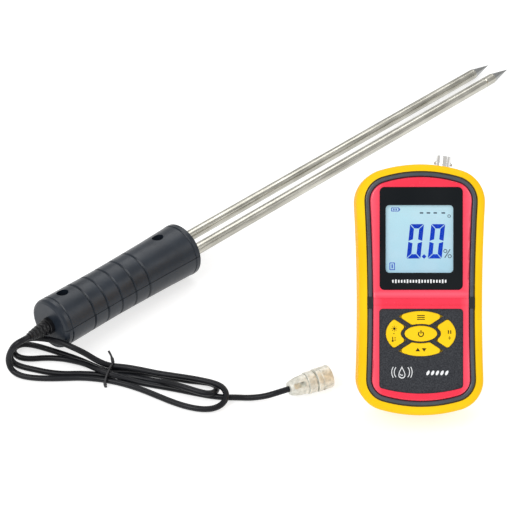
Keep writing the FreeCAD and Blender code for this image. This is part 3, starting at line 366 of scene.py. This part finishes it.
def make_looks():
    return {
        "floor": moulded("floor_paper", (0.51, 0.51, 0.51), (0.53, 0.53, 0.53), (0.85, 0.95), grain=400.0,
                         depth=0.02, strength=0.1, drift=6.0, Specular_IOR_Level=0.1,
                         Emission_Strength=0.66),
        "boot": boot_rubber(),
        "case": case_plastic(),
        "red": face_red(),
        "mask": moulded("window_mask", (0.004, 0.006, 0.008), (0.008, 0.010, 0.012), (0.06, 0.1),
                        grain=2600.0, depth=0.004, strength=0.05, Specular_IOR_Level=0.16),
        "lens": clear_lens(),
        "panel": panel_film(),
        "key": moulded("key_yellow", (0.93, 0.60, 0.004), (1.0, 0.66, 0.008), (0.3, 0.42), grain=1600.0,
                       depth=0.02, strength=0.2, Specular_IOR_Level=0.22),
        "legend": printed("legend_ink", (0.012, 0.006, 0.002), (0.03, 0.012, 0.003), (0.5, 0.6),
                          Specular_IOR_Level=0.15),
        "print": printed("print_white", (0.78, 0.80, 0.82), (0.9, 0.91, 0.92), (0.45, 0.6)),
        "digit": printed("digit_blue", (0.001, 0.030, 0.42), (0.002, 0.045, 0.52), (0.3, 0.4),
                         Specular_IOR_Level=0.05, Emission_Color=(0.01, 0.09, 0.8, 1),
                         Emission_Strength=0.15),
        "faint": printed("digit_faint", (0.02, 0.05, 0.09), (0.04, 0.08, 0.13), (0.3, 0.4),
                         Specular_IOR_Level=0.1),
        "display": display_face(),
        "handle": moulded("handle_dark", (0.008, 0.012, 0.019), (0.017, 0.024, 0.035), (0.3, 0.4),
                          grain=1500.0, depth=0.05, strength=0.5, Specular_IOR_Level=0.38),
        "rod": rod_metal(),
        "steel": metal("steel", (0.50, 0.49, 0.47), (0.64, 0.63, 0.60), (0.24, 0.36)),
        "nickel": metal("nickel", (0.52, 0.52, 0.46), (0.86, 0.855, 0.78), (0.36, 0.5), depth=0.06,
                        drift=420.0, metallic=0.22),
        "bright": metal("bright_nickel", (0.74, 0.74, 0.73), (0.90, 0.90, 0.89), (0.12, 0.2), metallic=0.8),
        "gold": metal("gold", (0.72, 0.48, 0.16), (0.85, 0.62, 0.24), (0.16, 0.26)),
        "rubber": moulded("rubber_black", (0.003, 0.003, 0.004), (0.009, 0.009, 0.011), (0.26, 0.38),
                          grain=900.0, depth=0.05, strength=0.4, Specular_IOR_Level=0.35),
        "cord": moulded("cord_black", (0.003, 0.003, 0.0045), (0.009, 0.010, 0.013), (0.3, 0.44),
                        grain=700.0, depth=0.05, strength=0.35, Specular_IOR_Level=0.25),
        "plastic": moulded("black_plastic", (0.012, 0.012, 0.014), (0.024, 0.024, 0.027), (0.4, 0.55)),
        "grey": moulded("mat_grey", (0.17, 0.17, 0.18), (0.25, 0.25, 0.26), (0.5, 0.65)),
        "board": moulded("board_green", (0.01, 0.10, 0.035), (0.02, 0.17, 0.06), (0.3, 0.5), grain=1400.0),
        "white": moulded("insulator_white", (0.68, 0.67, 0.63), (0.80, 0.79, 0.75), (0.35, 0.5)),
        "cell": moulded("cell_wrap", (0.02, 0.05, 0.12), (0.03, 0.08, 0.18), (0.25, 0.4)),
    }


SLOT_LOOK = {
    "boot_yellow": "boot", "case_black": "case", "face_red": "red", "window_clear": "lens",
    "lcd": "display", "lcd_black": "plastic", "panel_grey": "panel", "key_yellow": "key",
    "mat_grey": "grey", "board_green": "board", "chip_black": "plastic", "screw_steel": "steel",
    "cell_can": "cell", "contact_nickel": "bright", "plug_nickel": "nickel",
    "insulator_white": "white", "contact_gold": "gold", "handle_grey": "handle",
    "rod_steel": "rod", "cord_black": "cord", "tie_black": "plastic",
}
NODE_LOOK = {"cable_relief": "rubber", "probe_socket": "bright", "socket_nut": "bright"}


def dress_nodes(looks):
    for part in frame["record"]["subparts"]:
        name = part["node"]
        mesh = frame["nodes"][name].data
        mesh.materials.clear()
        mesh.materials.append(looks[NODE_LOOK.get(name, SLOT_LOOK[part["material_slot"]])])


# ------------------------------------------------------------------ flat shapes, in millimetres

WELD = 0.0005


def bar(x, y, width, height, turn=0.0):
    """A rectangle about its centre, turned by degrees."""
    cosine, sine = math.cos(math.radians(turn)), math.sin(math.radians(turn))
    corners = [(-1, -1), (1, -1), (1, 1), (-1, 1)]
    sized = [(a * width / 2, b * height / 2) for a, b in corners]
    return [(x + a * cosine - b * sine, y + a * sine + b * cosine) for a, b in sized]


def disc(x, y, radius, radius_y=None, turn=0.0, steps=28):
    """A circle, or an ellipse turned by degrees."""
    radius_y = radius_y or radius
    cosine, sine = math.cos(math.radians(turn)), math.sin(math.radians(turn))
    loop = []
    for index in range(steps):
        angle = 2 * math.pi * index / steps
        a, b = radius * math.cos(angle), radius_y * math.sin(angle)
        loop.append((x + a * cosine - b * sine, y + a * sine + b * cosine))
    return loop


def band(x, y, radius, width, start, end, steps=24):
    """Part of a ring, from one angle to another."""
    angles = [math.radians(start + (end - start) * index / steps) for index in range(steps + 1)]
    outer, inner = ([(x + far * math.cos(a), y + far * math.sin(a)) for a in angles]
                    for far in (radius + width / 2, radius - width / 2))
    return outer + inner[::-1]


def ring(x, y, radius, width):
    return [disc(x, y, radius + width / 2), disc(x, y, radius - width / 2)]


def rounded(x0, x1, y0, y1, radius, steps=8):
    """A rectangle between its limits, with round corners."""
    loop = []
    corners = [(x1 - radius, y0 + radius, -90), (x1 - radius, y1 - radius, 0),
               (x0 + radius, y1 - radius, 90), (x0 + radius, y0 + radius, 180)]
    for x, y, start in corners:
        for index in range(steps + 1):
            angle = math.radians(start + 90 * index / steps)
            loop.append((x + radius * math.cos(angle), y + radius * math.sin(angle)))
    return loop


def mesh_piece(name, mesh, look, body):
    mesh.materials.clear()
    mesh.materials.append(look)
    piece = bpy.data.objects.new(name, mesh)
    bpy.context.scene.collection.objects.link(piece)
    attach(piece, body)
    return piece


def tidy_mesh(mesh, smooth=False):
    work = bmesh.new()
    work.from_mesh(mesh)
    bmesh.ops.remove_doubles(work, verts=work.verts, dist=WELD * MM)
    bmesh.ops.recalc_face_normals(work, faces=work.faces)
    for face in work.faces:
        face.smooth = smooth
    work.to_mesh(mesh)
    work.free()


def flat_piece(name, loops, low, high, look, body, edge=0.0):
    """A thin plate on the meter, between two heights, with an optional rounded edge.

    Loops inside another loop are its holes.
    """
    curve = bpy.data.curves.new(name, "CURVE")
    curve.dimensions = "2D"
    curve.fill_mode = "BOTH"
    curve.extrude = ((high - low) / 2 - edge) * MM
    curve.bevel_depth = edge * MM
    curve.bevel_resolution = 2
    curve.offset = -edge * MM
    for loop in loops:
        spline = curve.splines.new("POLY")
        spline.points.add(len(loop) - 1)
        for point, (x, y) in zip(spline.points, loop):
            point.co = (x * MM, y * MM, 0, 1)
        spline.use_cyclic_u = True
    holder = bpy.data.objects.new(name + "_curve", curve)
    mesh = bpy.data.meshes.new_from_object(holder)
    bpy.data.objects.remove(holder)
    mesh.transform(METER @ moved(0, 0, (low + high) / 2))
    mesh.name = name
    tidy_mesh(mesh)
    return mesh_piece(name, mesh, look, body)


# ------------------------------------------------------------------ display window and picture

WINDOW_HALF = 24.9
WINDOW_LOW = 75.4
WINDOW_HIGH = 137.0
WINDOW_SEAT = 33.7
WINDOW_TOP = 35.2
WINDOW_ROUND = 3.0
MASK_EDGE = 0.15
LENS_PLAY = 0.05
LENS_FROM, LENS_TO = 0.6, 0.1       # depths under the mask's top
LCD_X, LCD_Y = -1.0, 105.9
LCD_VIEW = 20.2
LCD_ROUND = 2.2
LCD_TOP = 33.3
PICTURE = 0.05                      # thickness of every printed mark
FIGURE_BASE = 94.2
FIGURE = (8.3, 20.6, 2.6)           # width, height, width of a bar
FIGURE_LEFT = (-8.6, 4.1)
FIGURE_LEAN = 0.105
FIGURE_GAP = 0.28
TICKS = 19
TICK_PITCH = 1.75


def view_opening(inset=0.0):
    half = LCD_VIEW - inset
    return rounded(LCD_X - half, LCD_X + half, LCD_Y - half, LCD_Y + half, LCD_ROUND - inset)


def make_window(looks):
    outline = rounded(-WINDOW_HALF, WINDOW_HALF, WINDOW_LOW, WINDOW_HIGH, WINDOW_ROUND)
    mask = flat_piece("window_mask", [outline, view_opening()], WINDOW_SEAT, WINDOW_TOP,
                      looks["mask"], "meter", MASK_EDGE)
    lens = flat_piece("window_lens", [view_opening(LENS_PLAY)], WINDOW_TOP - LENS_FROM,
                      WINDOW_TOP - LENS_TO, looks["lens"], "meter")
    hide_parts("display_window")
    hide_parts("display_window")


def slant(loop, base):
    return [(x + (y - base) * FIGURE_LEAN, y) for x, y in loop]


def zero_figure(x, y, width, height, bar_width):
    """Seven-segment zero with its lower left corner at x, y: six mitred bars."""
    gap = FIGURE_GAP
    wide, half = width / 2, height / 2
    inner_x, inner_y = wide - bar_width, half - bar_width
    cap = [(-wide + gap, half), (wide - gap, half), (inner_x - gap, inner_y), (-inner_x + gap, inner_y)]
    wall = [(wide, half - gap), (wide, gap), (inner_x, 0.45 * bar_width), (inner_x, inner_y - gap)]
    loops = [[(a, side * b) for a, b in cap] for side in (-1, 1)]
    loops += [[(side * a, flip * b) for a, b in wall] for side in (-1, 1) for flip in (-1, 1)]
    return [slant([(x + wide + a, y + half + b) for a, b in loop], y) for loop in loops]


def make_picture(looks):
    low, high = LCD_TOP, LCD_TOP + PICTURE
    figures = [loop for left in FIGURE_LEFT for loop in zero_figure(left, FIGURE_BASE, *FIGURE)]
    figures.append(bar(1.9, FIGURE_BASE + 1.2, 2.0, 2.0, 45))
    flat_piece("display_figures", figures, low, high, looks["digit"], "meter")
    marks = [bar(x, 121.5, 2.1, 0.8) for x in (0.4, 4.5, 8.6, 13.4)]
    percent_x, percent_y = 15.9, 97.2
    marks += ring(percent_x - 1.25, percent_y + 1.5, 0.95, 0.4)
    marks += ring(percent_x + 1.35, percent_y - 1.6, 0.95, 0.4)
    marks.append(bar(percent_x, percent_y, 0.5, 6.0, -32))
    marks += ring(16.9, 119.6, 0.8, 0.35)
    flat_piece("display_marks", marks, low, high, looks["faint"], "meter")
    icons = [rounded(-17.8, -13.0, 122.4, 124.7, 0.4), rounded(-17.4, -13.4, 122.8, 124.3, 0.2)]
    icons += [bar(-12.7, 123.55, 0.5, 1.1), bar(-16.2, 123.55, 0.7, 0.9), bar(-14.8, 123.55, 0.7, 0.9)]
    icons += [rounded(-18.8, -15.6, 87.3, 91.8, 0.3), rounded(-18.35, -16.05, 87.75, 91.35, 0.2)]
    icons.append(bar(-17.2, 89.55, 0.7, 2.4))
    flat_piece("display_icons", icons, low, high, looks["digit"], "meter")
    scale = []
    for index in range(TICKS):
        height = 2.2 if index % 4 == 1 else 1.7
        scale.append(bar(-16.9 + TICK_PITCH * index, 80.6, 0.9, height))
    flat_piece("window_scale", scale, WINDOW_TOP, WINDOW_TOP + PICTURE, looks["print"], "meter")


# ------------------------------------------------------------------ marks on the keys and the panel

KEY_X, KEY_Y = -0.2, 49.3
KEY_TOP = 36.0
PANEL_TOP = 35.0
DROP_AT = (-11.5, 26.2)
DROP_STEPS = 32
DOTS = 5
DOT_PITCH = 2.8


def power_sign():
    return [band(KEY_X, KEY_Y - 0.2, 1.5, 0.6, 125, 415), bar(KEY_X, KEY_Y + 1.05, 0.6, 2.0)]


def menu_sign(x, y):
    return [bar(x, y + step * 1.15, 4.6, 0.5) for step in (-1, 0, 1)]


def arrows_sign(x, y):
    up = [(x - 3.3, y - 0.9), (x - 0.5, y - 0.9), (x - 1.9, y + 1.1)]
    down = [(x + 0.5, y + 0.9), (x + 3.3, y + 0.9), (x + 1.9, y - 1.1)]
    return [up, down]


def sun_sign(x, y):
    loops = [disc(x, y, 0.75)]
    for index in range(8):
        angle = math.radians(45 * index)
        loops.append(bar(x + 1.4 * math.cos(angle), y + 1.4 * math.sin(angle), 0.6, 0.28, 45 * index))
    return loops


def thermometer_sign(x, y):
    return [disc(x - 0.9, y - 0.7, 0.6), bar(x - 0.9, y + 0.75, 0.5, 1.9), bar(x + 0.55, y + 1.2, 0.9, 0.28),
            bar(x + 0.55, y + 0.4, 0.9, 0.28), bar(x + 0.55, y - 0.4, 0.9, 0.28)]


def make_key_marks(looks):
    marks = {
        "power_key": power_sign(),
        "set_key": menu_sign(KEY_X, KEY_Y + 9.7),
        "select_key": arrows_sign(KEY_X, KEY_Y - 9.6),
        "light_key": sun_sign(KEY_X - 15.9, KEY_Y + 3.0) + [bar(KEY_X - 16.2, KEY_Y, 1.0, 0.3)]
        + thermometer_sign(KEY_X - 16.0, KEY_Y - 3.6),
        "hold_key": [bar(KEY_X + 16.4, KEY_Y + 1.0, 0.6, 2.1), bar(KEY_X + 17.8, KEY_Y + 1.0, 0.6, 2.1),
                     bar(KEY_X + 17.1, KEY_Y - 2.6, 1.6, 0.36), bar(KEY_X + 17.1, KEY_Y - 1.95, 0.36, 0.6),
                     bar(KEY_X + 17.1, KEY_Y - 3.25, 0.36, 0.6)],
    }
    for key, loops in marks.items():
        flat_piece(key + "_mark", loops, KEY_TOP, KEY_TOP + PICTURE, looks["legend"], key)


def drop_outline(x, y, size):
    """A water drop, pointed at its top."""
    loop = []
    for index in range(DROP_STEPS):
        turn = 2 * math.pi * index / DROP_STEPS - math.pi / 2
        pinch = (1 - math.sin(turn)) / 2
        loop.append((x + size * math.cos(turn) * pinch ** 0.8, y + size * 1.25 * math.sin(turn)))
    return loop


def make_panel_marks(looks):
    x, y = DROP_AT
    loops = [drop_outline(x, y, 3.0), drop_outline(x, y - 0.25, 2.3)]
    loops += [band(x, y - 0.6, 1.2, 0.5, 200, 300, 10)]
    for side in (-1, 1):
        middle = 0 if side > 0 else 180
        for radius, half in ((4.6, 40), (6.1, 32)):
            loops.append(band(x, y, radius, 0.45, middle - half, middle + half, 12))
    for index in range(DOTS):
        loops.append(disc(4.1 + DOT_PITCH * index, 25.8, 1.55, 0.8, 62))
    flat_piece("panel_mark", loops, PANEL_TOP, PANEL_TOP + PICTURE, looks["print"], "meter")


# ------------------------------------------------------------------ the lead

CORD_RADIUS = 1.9
CORD_ROUTE = [
    # out of the strain relief and down to the table
    (-168.6, -140.6, 23.3), (-172.6, -144.6, 23.8), (-177.2, -146.8, 21.4), (-180.8, -147.0, 15.6),
    (-182.2, -147.2, 9.0), (-180.4, -149.6, 3.6), (-175.0, -152.8, 1.9),
    # first strand, through the tie and round the bottom of the right-hand loop
    (-167.0, -155.0, 1.9), (-157.0, -155.7, 1.9), (-147.0, -155.4, 1.9), (-137.5, -154.8, 1.9),
    (-128.0, -155.6, 1.9), (-119.0, -157.4, 1.9), (-109.0, -160.6, 1.9), (-99.0, -165.2, 1.9),
    (-89.0, -171.0, 1.9), (-79.0, -177.0, 1.9), (-69.5, -181.6, 1.9), (-60.0, -184.2, 1.9),
    # over the outgoing strand and back along the top of the bundle
    (-52.0, -184.0, 2.4), (-46.2, -180.8, 4.0), (-44.4, -175.2, 6.2), (-47.2, -169.6, 7.6),
    (-53.6, -165.8, 7.6), (-61.0, -162.8, 7.0), (-69.0, -160.2, 6.6), (-79.0, -157.6, 6.2),
    (-89.0, -155.0, 5.9), (-99.0, -151.8, 5.9), (-109.0, -149.2, 5.9), (-119.0, -148.0, 5.8),
    # up over the handle's rear end, under the relief and round the left end
    (-126.5, -147.4, 9.6), (-133.5, -145.6, 14.0), (-141.0, -144.0, 17.4), (-148.0, -140.6, 18.4),
    (-155.0, -136.2, 17.0), (-162.0, -132.4, 15.0), (-169.0, -130.0, 13.4), (-175.8, -130.0, 11.2),
    (-181.0, -133.0, 8.6), (-182.6, -138.2, 5.8), (-180.0, -142.6, 3.2), (-174.0, -144.8, 2.0),
    (-166.0, -147.2, 1.9), (-157.0, -150.0, 1.9), (-147.5, -151.4, 1.9), (-138.0, -151.0, 1.9),
    (-128.0, -151.6, 1.9), (-119.0, -153.4, 1.9),
    # right again between its neighbours, and folded back under the top strand
    (-110.0, -152.8, 1.9), (-100.0, -155.0, 1.9), (-90.0, -158.6, 2.4), (-80.0, -163.4, 5.0),
    (-71.0, -168.2, 5.9), (-62.0, -172.4, 5.9), (-55.6, -173.8, 5.4), (-51.4, -170.6, 4.2),
    (-50.6, -165.0, 2.6), (-53.8, -160.4, 1.9), (-60.5, -159.0, 1.9), (-69.0, -157.8, 1.9),
    (-79.0, -155.2, 1.9), (-89.0, -152.2, 1.9), (-99.0, -150.2, 1.9), (-109.0, -149.0, 1.9),
    (-119.0, -149.5, 1.9),
    # left over the table, round the inner loop and back
    (-126.5, -145.4, 1.9), (-134.0, -140.4, 1.9), (-142.0, -135.8, 1.9), (-151.0, -131.4, 1.9),
    (-160.0, -127.2, 1.9), (-168.0, -123.8, 1.9), (-175.2, -122.6, 2.2), (-180.4, -126.0, 2.8),
    (-181.2, -132.0, 3.2), (-177.2, -136.6, 2.8), (-170.0, -137.2, 2.0), (-160.0, -135.8, 1.9),
    (-150.0, -136.6, 1.9), (-142.0, -139.8, 2.8), (-134.0, -145.0, 4.8), (-127.0, -150.6, 5.8),
    (-119.0, -155.0, 5.6),
    # last strand, out of the bundle and up to the plug
    (-110.0, -156.8, 3.8), (-100.0, -159.4, 1.9), (-88.0, -162.6, 1.9), (-77.0, -165.4, 1.9),
    (-67.0, -168.4, 1.9), (-57.0, -171.4, 1.9), (-47.0, -173.2, 1.9), (-38.5, -173.2, 1.9),
    (-30.0, -173.7, 1.9), (-21.0, -175.2, 4.6), (-13.3, -174.7, 7.25), (-6.1, -171.3, 7.25),
]


def route_spline(name, points, radius, look):
    """One smooth curve through the given control points, in millimetres."""
    curve = bpy.data.curves.new(name, "CURVE")
    curve.dimensions = "3D"
    spline = curve.splines.new("NURBS")
    spline.points.add(len(points) - 1)
    for slot, (x, y, z) in zip(spline.points, points):
        slot.co = (x * MM, y * MM, z * MM, 1.0)
    spline.order_u = 3
    spline.use_endpoint_u = True
    spline.resolution_u = 8
    curve.bevel_depth = radius * MM
    curve.bevel_resolution = 5
    curve.use_fill_caps = True
    curve.materials.append(look)
    piece = bpy.data.objects.new(name, curve)
    bpy.context.scene.collection.objects.link(piece)
    return piece


def make_cord(looks, tie):
    cord = route_spline("lead", CORD_ROUTE, CORD_RADIUS, looks["cord"])
    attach(cord, "probe")
    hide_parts("cable_lead", "cable_hank", "cable_tail")


# ------------------------------------------------------------------ the twist tie

TIE_X = -118.6
TIE_WIRE = 0.7
TIE_LEAN = -2.4
TIE_TWIST = 0.45
TIE_LOOP = [(-161.0, 2.2), (-160.6, 4.6), (-157.8, 6.6), (-155.4, 8.6), (-151.6, 9.0), (-148.4, 8.9),
            (-145.6, 7.6), (-144.6, 4.6), (-146.0, 1.4), (-149.4, 0.5), (-154.0, 0.5), (-158.8, 0.6),
            (-161.2, 1.6)]


def swept_mesh(points, radius):
    """A tube along the points, as a mesh."""
    curve = route_spline("sweep", points, radius, None)
    mesh = bpy.data.meshes.new_from_object(curve)
    bpy.data.objects.remove(curve)
    return mesh


def twisted_end(start, end, turns, spread):
    """Two wires wound round each other from one point to another."""
    strands = []
    steps = 8 * turns
    for side in (0, math.pi):
        points = []
        for index in range(steps + 1):
            share = index / steps
            angle = side + 2 * math.pi * turns * share
            x, y, z = (a + (b - a) * share for a, b in zip(start, end))
            points.append((x + spread * math.cos(angle), y + spread * math.sin(angle), z))
        strands.append(points)
    return strands


def make_tie(looks):
    """A plastic-covered wire once round the hank, its ends twisted and bent up."""
    count = len(TIE_LOOP) - 1
    loop = [(TIE_X + TIE_LEAN * math.cos(2 * math.pi * index / count), y, z)
            for index, (y, z) in enumerate(TIE_LOOP)]
    paths = [loop] + twisted_end((-116.3, -148.0, 8.6), (-116.8, -147.2, 11.6), 2, TIE_TWIST)
    paths.append([(-116.8, -147.2, 11.2), (-117.2, -146.8, 13.4), (-118.8, -146.2, 16.4)])
    paths += twisted_end((-121.0, -160.4, 3.4), (-120.2, -163.2, 1.5), 1, TIE_TWIST)
    work = bmesh.new()
    for path in paths:
        mesh = swept_mesh(path, TIE_WIRE)
        work.from_mesh(mesh)
        bpy.data.meshes.remove(mesh)
    mesh = bpy.data.meshes.new("twist_tie")
    work.to_mesh(mesh)
    work.free()
    tidy_mesh(mesh, True)
    tie = mesh_piece("twist_tie", mesh, looks["plastic"], "probe")
    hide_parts("cable_tie")
    return tie


# ------------------------------------------------------------------ put together

make_camera()
looks = make_looks()
make_stage(looks)
dress_nodes(looks)
make_window(looks)
make_picture(looks)
make_key_marks(looks)
make_panel_marks(looks)
make_cord(looks, make_tie(looks))
